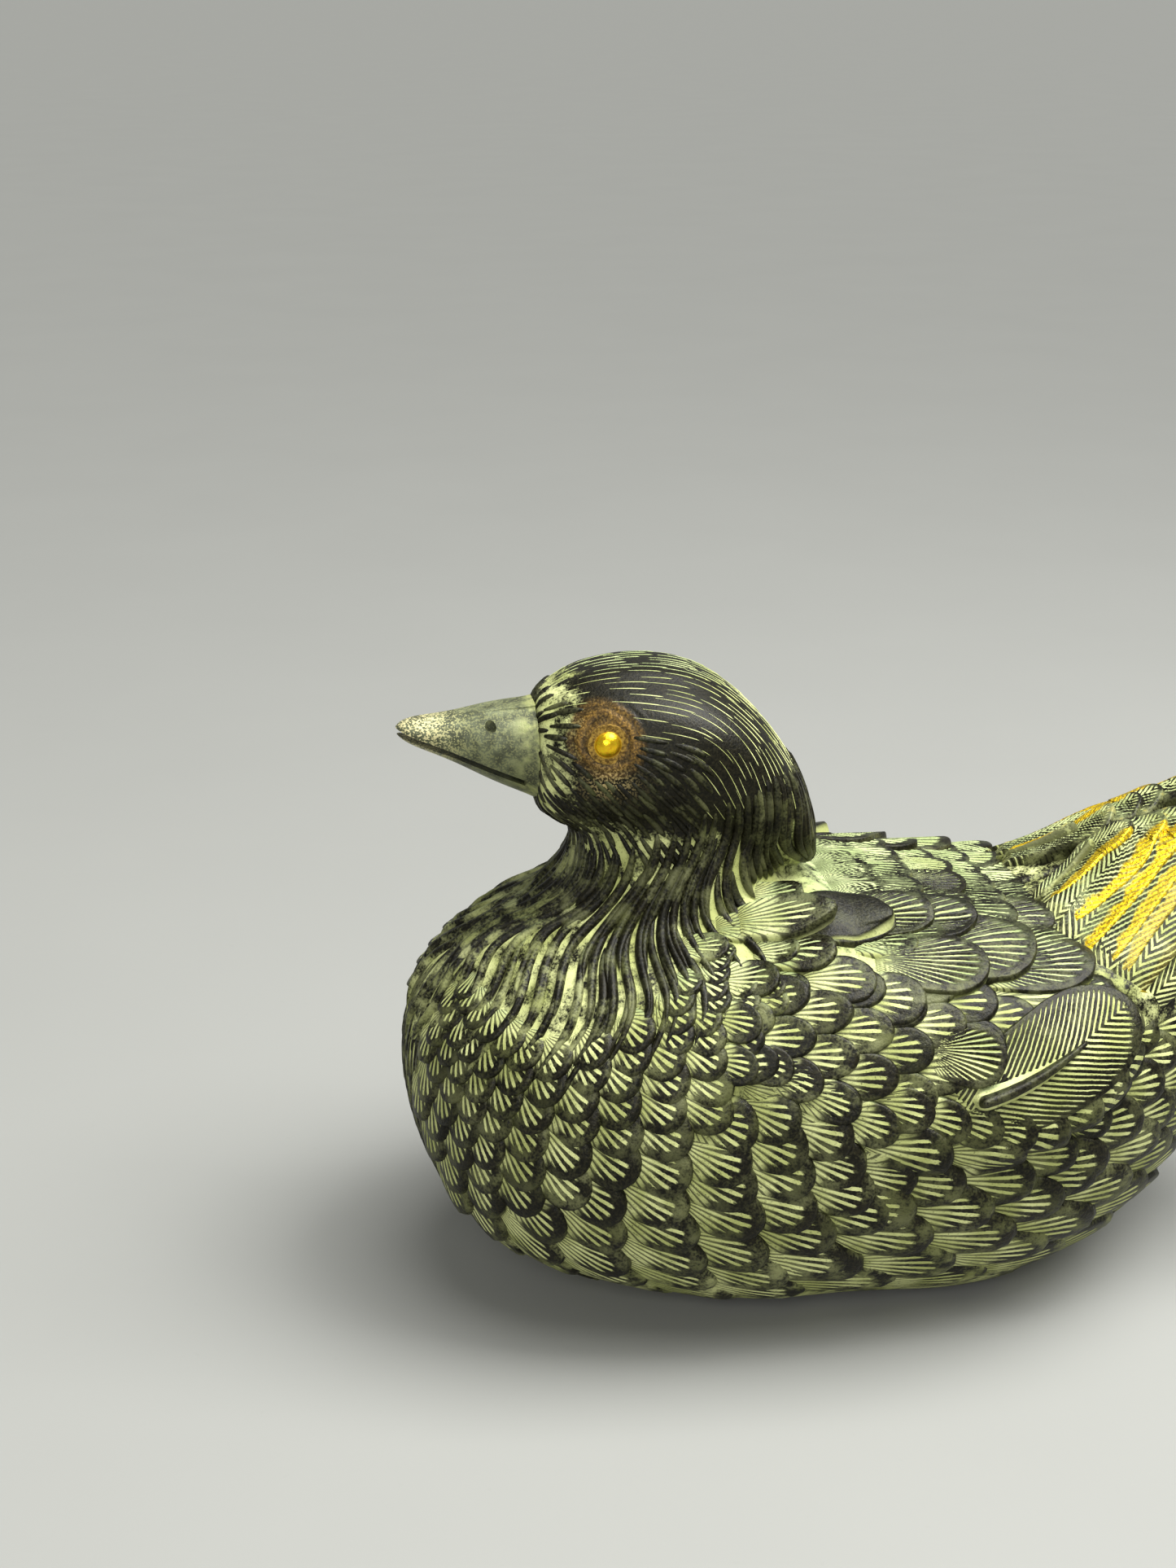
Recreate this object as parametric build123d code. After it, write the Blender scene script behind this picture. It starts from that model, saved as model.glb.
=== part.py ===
from build123d import *

import os
from math import atan2, cos, degrees, pi, radians, sin

# Hollow-cast bronze mandarin duck, cast in sections that are fitted, pinned and chased together.
#
# The bird faces -X, its left side is -Y, its back is up (+Z) and its base plate stands on Z = 0.
# Stations are given along the bird from its own middle, and everything is moved once, at export,
# so that the origin lies under the middle of the whole figure.

# ------------------------------------------------------------------ driving sizes, mm
wall = 3.0                    # cast wall of the body
seat_gap = 0.05               # clearance between castings that seat on each other
fit_gap = 0.05                # radial clearance of a pin, stud or spigot in its hole

# Body: x, half width, lowest z, z of the widest point, highest z.
body_nose = (-60.0, 33.5)
body_stations = [
    (-59.2, 6.0, 26.0, 33.5, 40.0),
    (-57.0, 11.5, 19.0, 33.0, 44.5),
    (-53.0, 18.0, 12.5, 32.0, 49.0),
    (-47.0, 24.0, 7.5, 30.5, 53.0),
    (-38.0, 29.0, 3.5, 30.0, 56.5),
    (-25.0, 32.0, 0.0, 29.5, 58.5),
    (-8.0, 33.0, -2.5, 29.5, 58.5),
    (8.0, 32.5, -3.5, 30.0, 57.0),
    (21.0, 31.0, -2.5, 31.5, 55.0),
    (32.0, 28.0, 2.0, 33.5, 53.0),
    (41.0, 23.0, 8.5, 36.0, 51.0),
    (48.0, 16.5, 17.5, 38.5, 49.5),
    (52.0, 10.0, 27.5, 41.0, 48.0),
]
body_stern = (54.0, 42.0)
body_power = 2.2              # 2 is an ellipse, more is squarer

# Head, from the step behind the bill to the crest at the nape, and its bill.
head_stations = [
    (-42.0, 6.5, 69.5, 77.0, 83.7),
    (-40.0, 8.6, 67.5, 77.0, 85.1),
    (-36.0, 10.8, 65.5, 77.0, 87.1),
    (-30.0, 12.8, 63.5, 77.0, 88.0),
    (-23.0, 13.6, 62.5, 76.5, 87.3),
    (-16.0, 12.8, 61.0, 74.5, 83.7),
    (-10.5, 10.5, 59.5, 70.5, 78.0),
    (-7.0, 7.5, 58.0, 66.0, 72.0),
]
head_nape = (-5.0, 62.0)
head_power = 2.1
bill_tip = (-60.0, 80.1)
bill_stations = [
    (-58.8, 1.8, 78.7, 80.1, 81.2),
    (-55.0, 2.9, 76.7, 79.7, 81.8),
    (-50.0, 4.2, 74.1, 78.9, 82.4),
    (-45.0, 5.4, 71.5, 77.9, 83.0),
    (-42.0, 6.0, 70.0, 77.2, 83.3),
]
bill_power = 2.0
bill_tang_radius = 3.0
bill_tang_length = 6.0
mouth_gap = 0.8               # slot between the upper and lower halves of the bill
mouth_corner = (-43.5, 73.2)  # where the mouth ends, below the cheek
nostril = (-48.0, 81.0)
nostril_radius = 0.7
nostril_depth = 1.0

# Neck: z, middle x, half length, half width of level sections.
neck_sections = [
    (40.0, -29.0, 25.0, 24.0),
    (49.0, -28.0, 22.0, 20.0),
    (56.0, -25.0, 17.0, 14.5),
    (62.0, -23.2, 14.2, 12.2),
    (68.0, -23.2, 14.0, 12.0),
    (74.0, -23.5, 13.5, 11.5),
]
neck_wall = 3.5

# Seam between the neck casting and the body casting, seen from the side: a bib over the breast.
seam_points = [(-68.0, 52.0), (-54.5, 47.2), (-42.0, 44.0), (-28.0, 49.5), (-15.0, 56.3), (6.0, 62.0)]
spigot_x = -30.0
spigot_radius = 7.0
spigot_bore_radius = 3.5
spigot_length = 14.0
neck_pin_radius = 1.25
neck_pin_drop = 8.0           # how far below the seam the pin crosses the spigot

# Eyes: a round stud with a domed head in a ring.
eye_x, eye_z = -34.2, 80.4
eye_ring_radius = 2.6
eye_ring_height = 0.6
eye_dome_radius = 1.7
eye_dome_height = 1.1
eye_stud_radius = 1.0
eye_stud_length = 4.0

# Wings, let into shallow seats in the flanks, thicker towards their free rear edge.
wing_outline = [
    (-24.0, 44.0), (-16.0, 36.5), (-5.0, 31.3), (8.0, 29.6), (20.0, 31.0), (29.5, 37.0),
    (33.0, 45.0), (26.5, 52.3), (12.0, 54.3), (-4.0, 54.6), (-18.0, 51.0),
]
wing_seat_depth = 1.2
wing_rise_front = 0.4
wing_rise_rear = 2.4
wing_pin_places = [(-10.0, 44.0), (12.0, 42.0)]

# Primaries: the raised fans of long feathers behind the wings.
fan_stations = [
    (16.0, 34.0, -2.0, 31.0, 58.0),
    (24.0, 32.5, 2.0, 33.0, 57.8),
    (32.0, 29.5, 8.0, 36.0, 58.8),
    (40.0, 25.0, 15.0, 40.0, 61.2),
    (48.0, 19.5, 24.0, 45.0, 63.8),
    (55.0, 13.5, 35.0, 51.0, 65.8),
    (61.0, 8.0, 46.0, 56.0, 67.0),
]
fan_tip = (66.0, 60.5)
fan_thickness = 2.4
fan_blades = 6
fan_step = 0.5                # each blade lies this much below the one before
fan_root_top = (22.0, 57.0)
fan_root_low = (31.0, 38.5)
fan_tip_first = (53.0, 67.5)
fan_tip_last = (60.0, 52.0)
fan_bulge_first = 0.5
fan_bulge_last = 4.5
fan_scoop_x = 37.0            # behind here the fans stand clear of the back as a shell
fan_pin_place = (34.5, 45.5)

# Tail: a flat fan of rounded feathers on a tenon in the stern.
tail_feathers = 7
tail_spread = 62.0            # degrees from the first feather to the last
tail_pivot = (41.0, 41.5)
tail_length = 29.5
tail_feather_width = 9.5
tail_thickness = 2.2
tail_layer = 0.45             # each pair of feathers lies this much lower than the inner pair
tail_rise = 7.0               # degrees
tenon_width = 14.0
tenon_thickness = 3.4
tenon_length = 14.0
tenon_start = 3.0             # from the tail's pivot to the inner end of the tenon
tail_pin_x = 48.0
tail_pin_radius = 1.0
stern_solid_x = 40.0          # the casting is solid behind here, to hold the tail

# Underside: core opening, base plate and its screws.
plate_thickness = 1.8
opening_half_length = 15.0
opening_half_width = 7.5
lip_height = 2.2
lip_wall = 1.6
lip_gap = 0.15
floor_thickness = 3.0
screw_radius = 1.25
screw_head_radius = 2.3
screw_head_height = 1.1
screw_slot = 0.5
screw_recess = 0.15           # the heads stay this far above what the plate stands on
screw_length = 7.5
screw_place = (19.0, 7.5)
boss_radius = 3.0
boss_height = 7.0

hold_pin_radius = 1.0         # pins that hold the wings and primaries
hold_pin_reach = 1.3          # how far a pin runs into the casting it holds
hold_pin_stand = 0.4          # how far its inner end stands out of the wall

reach = 200.0                 # larger than the figure, for cutting bodies


# ------------------------------------------------------------------ shared forms
def superellipse(x, half_width, z_low, z_wide, z_high, power, count=8):
    """Face across the bird at x, widest at z_wide, joined from a right and a left half."""
    points = []
    for i in range(count + 1):
        side, up = sin(pi * i / count), -cos(pi * i / count)
        rise = z_high - z_wide if up >= 0 else z_wide - z_low
        z = z_wide + rise * abs(up) ** (2 / power) * (1 if up >= 0 else -1)
        points.append((half_width * side ** (2 / power), z))
    right = Spline(*[(x, y, z) for y, z in points], tangents=[(0, 1, 0), (0, -1, 0)])
    left = Spline(*[(x, -y, z) for y, z in points], tangents=[(0, -1, 0), (0, 1, 0)])
    return make_face([right, left])


def hull(stations, power, front=None, rear=None, grow=lambda x: 0.0):
    """Smooth solid through the stations, pointed at front or rear where a point is given."""
    sections = [
        superellipse(x, w + grow(x), low - grow(x), wide, high + grow(x), power)
        for x, w, low, wide, high in stations
        if min(w + grow(x), high - wide + grow(x)) > 1.0
    ]
    if front:
        sections.insert(0, Vertex(front[0] - grow(front[0]), 0, front[1]))
    if rear:
        sections.append(Vertex(rear[0] + grow(rear[0]), 0, rear[1]))
    return loft(sections)


def body_form(grow=0.0):
    """The body's outer form, evenly grown or shrunk."""
    return hull(body_stations, body_power, body_nose, body_stern, lambda x: grow)


def side_prism(face_xz, y_from, y_to):
    """Sweep a face drawn in the XZ plane from one y to another."""
    return Pos(0, y_from, 0) * extrude(face_xz, amount=y_to - y_from, dir=(0, 1, 0))


def xz(*points):
    """Points of the XZ plane in space."""
    return [(x, 0, z) for x, z in points]


def slab(z_from, z_to):
    """Everything between two levels."""
    return Pos(0, 0, (z_from + z_to) / 2) * Box(reach, reach, z_to - z_from)


def behind(x):
    """Everything behind a station."""
    return Pos(x + reach / 2, 0, 0) * Box(reach, reach, reach)


def above_seam(drop=0.0):
    """Everything above the neck seam, or above the seam lowered by drop."""
    seam = Spline(*xz(*[(x, z - drop) for x, z in seam_points]))
    first, last = seam_points[0], seam_points[-1]
    edge = Polyline(*xz((last[0], last[1] - drop), (last[0], reach), (first[0], reach),
                        (first[0], first[1] - drop)))
    return side_prism(make_face([seam, edge]), -reach / 2, reach / 2)


def seam_height(x):
    """Level of the neck seam at x."""
    seam = Spline(*xz(*seam_points))
    steps = [seam @ (i / 200) for i in range(201)]
    return min(steps, key=lambda p: abs(p.X - x)).Z


def flank(form, x, z):
    """Half width of a form at one place seen from the side."""
    hits = form.find_intersection_points(Axis((x, 0, z), (0, 1, 0)))
    return max(point.Y for point, normal in hits)


def cross_rod(x, z, radius, y_from, y_to):
    """Round bar along Y."""
    middle = (y_from + y_to) / 2
    return Pos(x, middle, z) * Rot(90, 0, 0) * Cylinder(radius, y_to - y_from)


def both_sides(part):
    """A left part and its mirror image."""
    return part, mirror(part, about=Plane.XZ)


# ------------------------------------------------------------------ wings and primaries
def wing_rise(x):
    """How far the wing stands out of the flank."""
    front, rear = wing_outline[0][0], max(px for px, pz in wing_outline)
    share = min(max((x - front) / (rear - front), 0.0), 1.0)
    return wing_rise_front + (wing_rise_rear - wing_rise_front) * share


def wing_prism(grow=0.0):
    """The wing's outline, grown all round by a clearance and swept out of the left side."""
    middle = Vector(*[sum(axis) / len(wing_outline) for axis in zip(*wing_outline)])
    points = [Vector(*point) for point in wing_outline]
    grown = [p + (p - middle).normalized() * grow for p in points]
    face = make_face(Spline(*xz(*[(p.X, p.Y) for p in grown]), periodic=True))
    return side_prism(face, -reach / 2, 0)


def wing_seat():
    """What is cut out of the left flank for the wing."""
    return wing_prism() - body_form(-wing_seat_depth)


def left_wing():
    form = hull(body_stations, body_power, body_nose, body_stern, wing_rise)
    return (form & wing_prism(-seat_gap)) - body_form(seat_gap - wing_seat_depth)


def fan_form(grow=0.0):
    return hull(fan_stations, body_power, None, fan_tip, lambda x: grow)


def between(a, b, share):
    """Point part of the way from a to b."""
    return tuple(p + (q - p) * share for p, q in zip(a, b))


def blade_region(i):
    """Outline, seen from the side, of all the blades from the top one down to blade i."""
    share = i / (fan_blades - 1)
    root = between(fan_root_top, fan_root_low, (i + 1) / fan_blades)
    tip = between(fan_tip_first, fan_tip_last, share)
    bulge = fan_bulge_first + (fan_bulge_last - fan_bulge_first) * share
    middle = between(root, tip, 0.55)
    lower = ThreePointArc(*xz(root, (middle[0] + bulge * 0.6, middle[1] - bulge), tip))
    upper = Polyline(*xz(tip, (tip[0] - 1.5, fan_tip_first[1] + 3), (fan_root_top[0], fan_root_top[1] + 3), root))
    return side_prism(make_face([lower, upper]), -reach / 2, -seat_gap)


def left_primaries():
    blades = [fan_form(-i * fan_step) & blade_region(i) for i in range(fan_blades)]
    fan = blades[0]
    for blade in blades[1:]:
        fan += blade
    depth = fan_thickness + fan_step * (fan_blades - 1) / 2
    scoop = fan_form(-depth) & behind(fan_scoop_x)
    return fan - [scoop, body_form(seat_gap), wing_prism(seat_gap)] - tail_blades(seat_gap)


# ------------------------------------------------------------------ head, neck and bill
def head_form(grow=0.0):
    return hull(head_stations, head_power, None, head_nape, lambda x: grow)


def neck_form(shrink=0.0):
    return loft([
        Plane.XY.offset(z) * Pos(x, 0) * Ellipse(a - shrink, b - shrink)
        for z, x, a, b in neck_sections
    ])


def spigot(radius, length):
    """Upright bar hanging below the seam at the spigot."""
    top = seam_height(spigot_x)
    return Pos(spigot_x, 0, top - length / 2 + neck_wall / 2) * Cylinder(radius, length + neck_wall)


def head_neck(body, eye_sockets):
    casting = (head_form() + neck_form() + body) & above_seam()
    casting += spigot(spigot_radius, spigot_length)
    core = neck_form(neck_wall) & above_seam(-neck_wall)
    casting -= core + spigot(spigot_bore_radius, spigot_length)
    return casting - [neck_pin(fit_gap), bill_tang(fit_gap)] - list(eye_sockets)


def neck_pin(gap=0.0):
    """Bar across the spigot and the boss around it."""
    half = spigot_radius + wall
    return cross_rod(spigot_x, seam_height(spigot_x) - neck_pin_drop, neck_pin_radius + gap, -half, half)


def bill_root():
    """Place where the bill meets the face, on the middle plane."""
    x, w, low, wide, high = bill_stations[-1]
    return x, (low + high) / 2


def bill_tang(gap=0.0):
    x, z = bill_root()
    length = bill_tang_length + gap
    return Pos(x + length / 2, 0, z) * Rot(0, 90, 0) * Cylinder(bill_tang_radius + gap, length)


def bill():
    horn = hull(bill_stations, bill_power, bill_tip)
    slope = degrees(atan2(bill_tip[1] - mouth_corner[1], mouth_corner[0] - bill_tip[0]))
    slot = Pos(mouth_corner[0] - reach / 2, 0, 0) * Box(reach, reach, mouth_gap)
    horn -= Pos(*xz(mouth_corner)[0]) * Rot(0, slope, 0) * Pos(-mouth_corner[0], 0, 0) * slot
    side = flank(horn, *nostril)
    for y in (-side, side):
        horn -= cross_rod(*nostril, nostril_radius, y - nostril_depth, y + nostril_depth)
    return horn + bill_tang()


def eye_stud(gap=0.0):
    return Pos(0, 0, -(eye_stud_length + gap) / 2) * Cylinder(eye_stud_radius + gap, eye_stud_length + gap)


def from_left(seat_y):
    """Turns what stands on the XY plane to stand out of the left side of the head."""
    return Pos(eye_x, -seat_y, eye_z) * Rot(90, 0, 0)


def left_eye(seat_y):
    """Dome in a ring, on a stud that is pushed into the head."""
    ring = Pos(0, 0, eye_ring_height / 2) * Cylinder(eye_ring_radius, eye_ring_height)
    ball = (eye_dome_radius ** 2 + eye_dome_height ** 2) / (2 * eye_dome_height)
    dome = Pos(0, 0, eye_ring_height + eye_dome_height - ball) * Sphere(ball)
    dome &= Pos(0, 0, eye_ring_height + eye_dome_height / 2) * Cylinder(eye_ring_radius, eye_dome_height)
    return from_left(seat_y) * (eye_stud() + ring + dome)


def left_eye_socket(seat_y):
    """Hole for the stud, and the flat that the ring seats on."""
    flat = Pos(0, 0, eye_stud_length / 2) * Cylinder(eye_ring_radius + fit_gap, eye_stud_length)
    return from_left(seat_y) * (eye_stud(fit_gap) + flat)


# ------------------------------------------------------------------ tail
def tail_place():
    return Pos(tail_pivot[0], 0, tail_pivot[1]) * Rot(0, -tail_rise, 0)


def tail_tenon(gap=0.0):
    """Flat tongue that enters the stern."""
    middle = tenon_start + tenon_length / 2
    block = Box(tenon_length + 2 * gap, tenon_width + 2 * gap, tenon_thickness + 2 * gap)
    return tail_place() * Pos(middle, 0, tail_thickness / 2) * block


def tail_pin(gap=0.0):
    """Cross pin through stern and tenon, dressed flush with the flanks."""
    rise = (tail_pin_x - tail_pivot[0]) * sin(radians(tail_rise)) + tail_thickness / 2
    return cross_rod(tail_pin_x, tail_pivot[1] + rise, tail_pin_radius + gap, -reach / 2, reach / 2)


def tail_blades(gap=0.0):
    """Feathers stacked from the outer pair up to the middle one."""
    middle = (tail_feathers - 1) / 2
    blades = []
    for i in range(tail_feathers):
        outline = SlotCenterToCenter(tail_length, tail_feather_width + 2 * gap)
        blade = extrude(outline, amount=tail_thickness + 2 * gap)
        blade = Pos(tail_length / 2, 0, -abs(i - middle) * tail_layer - gap) * blade
        turn = (i - middle) * tail_spread / (tail_feathers - 1)
        blades.append(tail_place() * Rot(0, 0, turn) * blade)
    return blades


def tail_fan():
    first, *others = tail_blades()
    fan = first + others - body_form(seat_gap)
    return fan + tail_tenon() - tail_pin(fit_gap)


# ------------------------------------------------------------------ underside
def screw_places():
    x, y = screw_place
    return [Pos(i * x, j * y, screw_recess) for i in (-1, 1) for j in (-1, 1)]


def screw(gap=0.0):
    """Slotted countersunk screw, its head just inside the underside of the plate."""
    head = Pos(0, 0, screw_head_height / 2) * Cone(screw_head_radius + gap, screw_radius + gap, screw_head_height)
    shank = Pos(0, 0, screw_length / 2) * Cylinder(screw_radius + gap, screw_length)
    return head + shank


def screw_slot_cut():
    return Box(2 * screw_head_radius + 1, screw_slot, screw_slot * 2)


def countersink():
    """Hole for a screw and its head, open to the underside."""
    radius = screw_head_radius + fit_gap
    return Pos(0, 0, -fit_gap) * screw(fit_gap) + Pos(0, 0, -radius / 2) * Cylinder(radius, radius)


def core_opening(gap=0.0):
    return Ellipse(opening_half_length - gap, opening_half_width - gap)


def base_plate(body):
    plate = body & slab(0, plate_thickness)
    rim = core_opening(lip_gap) - core_opening(lip_gap + lip_wall)
    plate += Pos(0, 0, plate_thickness) * extrude(rim, amount=lip_height)
    return plate - [place * countersink() for place in screw_places()]


# ------------------------------------------------------------------ body casting
def hold_pins(body, gap=0.0):
    """Pins from inside the wall into the left wing and the left primaries."""
    inner = body_form(-wall)
    places = [(place, wing_seat_depth) for place in wing_pin_places] + [(fan_pin_place, 0.0)]
    pins = []
    for (x, z), depth in places:
        start = flank(inner, x, z) - hold_pin_stand
        end = flank(body, x, z) - depth + hold_pin_reach
        pins.append(cross_rod(x, z, hold_pin_radius + gap, -end - gap, -start))
    return pins


def cavity():
    """Hollow of the casting, left solid at the stern and around the spigot and the screws."""
    floor_top = plate_thickness + floor_thickness
    bosses = [place * Pos(0, 0, floor_top) * Cylinder(boss_radius, 2 * boss_height) for place in screw_places()]
    solid_parts = [above_seam(wall), behind(stern_solid_x), spigot(spigot_radius + wall, spigot_length)]
    return (body_form(-wall) & slab(floor_top, reach)) - (solid_parts + bosses)


def body_shell(body, pin_holes):
    shell = (body & slab(plate_thickness, reach)) - above_seam(seat_gap) - cavity()
    opening = Pos(0, 0, plate_thickness) * extrude(core_opening(), amount=floor_thickness)
    socket = spigot(spigot_radius + fit_gap, spigot_length + 1.0)
    shell -= [neck_pin(fit_gap), socket, opening] + [place * screw(fit_gap) for place in screw_places()]
    shell -= [tail_tenon(seat_gap), tail_pin(fit_gap)]
    shell -= list(both_sides(wing_seat()))
    return shell - [side for hole in pin_holes for side in both_sides(hole)]


# ------------------------------------------------------------------ assembly
def duck():
    """Every casting and fastener by name."""
    body = body_form()
    eye_seat = flank(head_form(), eye_x, eye_z)
    pins = hold_pins(body)
    pin_holes = hold_pins(body, fit_gap)
    parts = {
        "body_shell": body_shell(body, pin_holes),
        "head_neck": head_neck(body, both_sides(left_eye_socket(eye_seat))),
        "neck_pin": neck_pin(),
        "bill": bill(),
        "tail_fan": tail_fan(),
        "tail_pin": tail_pin() & body,
        "base_plate": base_plate(body),
        "base_screws": Compound([place * (screw() - screw_slot_cut()) for place in screw_places()]),
        "hold_pins": Compound([side for pin in pins for side in both_sides(pin)]),
    }
    parts["left_eye"], parts["right_eye"] = both_sides(left_eye(eye_seat))
    parts["left_wing"], parts["right_wing"] = both_sides(left_wing() - pin_holes[:-1])
    parts["left_primaries"], parts["right_primaries"] = both_sides(left_primaries() - pin_holes[-1])
    return parts


parts = duck()
box = Compound(list(parts.values())).bounding_box()
to_origin = Pos(-(box.min.X + box.max.X) / 2, 0, -box.min.Z)
os.makedirs("parts", exist_ok=True)
for name, part in parts.items():
    export_step(to_origin * part, f"parts/{name}.step")
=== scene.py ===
import math

import bmesh
import bpy
import numpy as np
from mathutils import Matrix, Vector
from mathutils.bvhtree import BVHTree


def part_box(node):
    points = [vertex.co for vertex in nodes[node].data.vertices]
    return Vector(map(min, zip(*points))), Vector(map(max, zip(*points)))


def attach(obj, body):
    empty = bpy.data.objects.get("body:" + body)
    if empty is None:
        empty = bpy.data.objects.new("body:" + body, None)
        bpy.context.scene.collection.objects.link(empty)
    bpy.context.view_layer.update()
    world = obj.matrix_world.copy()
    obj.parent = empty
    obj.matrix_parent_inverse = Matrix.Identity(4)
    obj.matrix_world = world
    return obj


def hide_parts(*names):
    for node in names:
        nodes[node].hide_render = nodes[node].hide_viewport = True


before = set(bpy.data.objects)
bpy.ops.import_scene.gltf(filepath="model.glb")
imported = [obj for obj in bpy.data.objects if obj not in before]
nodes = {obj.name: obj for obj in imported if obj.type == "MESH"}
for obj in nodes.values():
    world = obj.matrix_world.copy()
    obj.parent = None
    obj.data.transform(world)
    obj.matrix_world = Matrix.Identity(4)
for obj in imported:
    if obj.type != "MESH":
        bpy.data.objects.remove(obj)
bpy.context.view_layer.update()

rng = np.random.default_rng(12)
MM = 0.001
OTHER_SIDE = np.array([1.0, -1.0, 1.0])  # turns left into right

# Everything below is laid out in millimetres in the bird's own frame: x runs
# back from the middle of the body, y to the right, z up from the base.
BREAST_X = -60.0
SHIFT = np.array([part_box("body_shell")[0].x / MM - BREAST_X, 0.0, 0.0])


def metres(p):
    return (np.asarray(p, float) + SHIFT) * MM


def step(a, b, x):
    t = np.clip((x - a) / (b - a), 0.0, 1.0)
    return t * t * (3 - 2 * t)


def unit(v):
    return v / np.maximum(np.linalg.norm(v, axis=-1, keepdims=True), 1e-12)


def tangent(v, normal):
    """The direction of v along a surface."""
    return unit(v - (v * normal).sum(-1, keepdims=True) * normal)


def linked(name, data):
    """A new object in the scene."""
    made = bpy.data.objects.new(name, data)
    bpy.context.scene.collection.objects.link(made)
    return made


def facing(way):
    """The rotation of a lamp or camera that looks that way."""
    return Vector(way).to_track_quat("-Z", "Y").to_euler()


# -------- surfaces

class Surface:
    """A closed mesh in bird millimetres that feathers are laid on."""

    def __init__(self, points, faces):
        self.points, self.faces = points, faces
        corner = points[faces]
        flat = np.cross(corner[:, 2] - corner[:, 0], corner[:, -1] - corner[:, 1])
        normal = np.zeros_like(points)
        for k in range(faces.shape[1]):
            for axis in range(3):
                normal[:, axis] += np.bincount(faces[:, k], flat[:, axis], len(points))
        self.normals = unit(normal)
        self.tree = BVHTree.FromPolygons(points.tolist(), faces.tolist())

    def _smooth(self, where, face):
        ring = self.faces[face]
        gap = np.linalg.norm(self.points[ring] - where[:, None], axis=-1)
        weight = 1.0 / (gap ** 2 + 0.02)  # finite on a corner too
        return unit((self.normals[ring] * weight[..., None]).sum(1))

    def settle(self, p):
        """The nearest points of the surface, and its smooth normals there."""
        shape = p.shape
        flat = p.reshape(-1, 3)
        find = self.tree.find_nearest
        found = [find(q) for q in flat.tolist()]
        where = np.array([f[0] for f in found])
        face = np.array([f[2] for f in found])
        return where.reshape(shape), self._smooth(where, face).reshape(shape)

    def cast(self, start, way):
        """Where rays first meet the surface. A miss gives nan."""
        start, way = np.broadcast_arrays(start, way)
        where = np.full(start.shape, np.nan)
        flat = where.reshape(-1, 3)
        for k, (o, d) in enumerate(zip(start.reshape(-1, 3).tolist(), way.reshape(-1, 3).tolist())):
            hit = self.tree.ray_cast(o, d)
            if hit[0] is not None:
                flat[k] = hit[0]
        return where


def mesh_points(mesh):
    co = np.empty(len(mesh.vertices) * 3, np.float32)
    mesh.vertices.foreach_get("co", co)
    return co.reshape(-1, 3)


def node_triangles(names):
    points, faces, start = [], [], 0
    for name in names:
        mesh = nodes[name].data
        mesh.calc_loop_triangles()
        tri = np.empty(len(mesh.loop_triangles) * 3, np.int32)
        mesh.loop_triangles.foreach_get("vertices", tri)
        points.append(mesh_points(mesh) / MM - SHIFT)
        faces.append(tri.reshape(-1, 3) + start)
        start += len(mesh.vertices)
    return np.concatenate(points), np.concatenate(faces)


def new_mesh(name, points, faces, smooth=True):
    mesh = bpy.data.meshes.new(name)
    sides = faces.shape[1]
    mesh.vertices.add(len(points))
    mesh.vertices.foreach_set("co", metres(points).astype(np.float32).ravel())
    mesh.loops.add(faces.size)
    mesh.loops.foreach_set("vertex_index", faces.astype(np.int32).ravel())
    mesh.polygons.add(len(faces))
    mesh.polygons.foreach_set("loop_start", np.arange(0, faces.size, sides, dtype=np.int32))
    mesh.update(calc_edges=True)
    if smooth:
        mesh.shade_smooth()
    return mesh


def attribute(mesh, name, kind, values):
    key = {"FLOAT": "value", "FLOAT2": "vector", "FLOAT_COLOR": "color"}[kind]
    values = values.astype(np.float32).ravel()
    mesh.attributes.new(name, kind, "POINT").data.foreach_set(key, values)


def show(name, mesh, material, slot, *stands_for):
    """Puts a mesh in the scene as a piece that rides on the root."""
    mesh.materials.append(material)
    made = linked(name, mesh)
    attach(made, "root")
    if stands_for:
        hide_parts(*stands_for)


def outer_part(points, faces):
    """Keeps the outermost closed sheet and drops the walls of the hollow inside."""
    label = np.arange(len(points))
    a, b = faces.ravel(), np.roll(faces, -1, axis=1).ravel()
    while True:
        low = np.minimum(label[a], label[b])
        new = label.copy()
        np.minimum.at(new, a, low)
        np.minimum.at(new, b, low)
        new = new[new]
        if (new == label).all():
            break
        label = new
    outer = label == label[points[:, 0].argmin()]
    index = np.cumsum(outer) - 1
    return points[outer], index[faces[outer[faces[:, 0]]]]


def core(names, middle, share):
    """A convex filler inside some solids, so that a skin over them has no hollow."""
    points, _ = node_triangles(names)
    mesh = bmesh.new()
    for p in middle + (points[::7] - middle) * share:  # one point in seven is enough for a hull
        mesh.verts.new(p)
    made = bmesh.ops.convex_hull(mesh, input=mesh.verts)
    inner = [v for v in made["geom_interior"] if isinstance(v, bmesh.types.BMVert)]
    bmesh.ops.delete(mesh, geom=inner, context="VERTS")
    bmesh.ops.triangulate(mesh, faces=mesh.faces)
    bmesh.ops.recalc_face_normals(mesh, faces=mesh.faces)
    mesh.verts.index_update()
    hull = np.array([v.co for v in mesh.verts]), np.array([[v.index for v in f.verts] for f in mesh.faces])
    mesh.free()
    return hull


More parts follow.
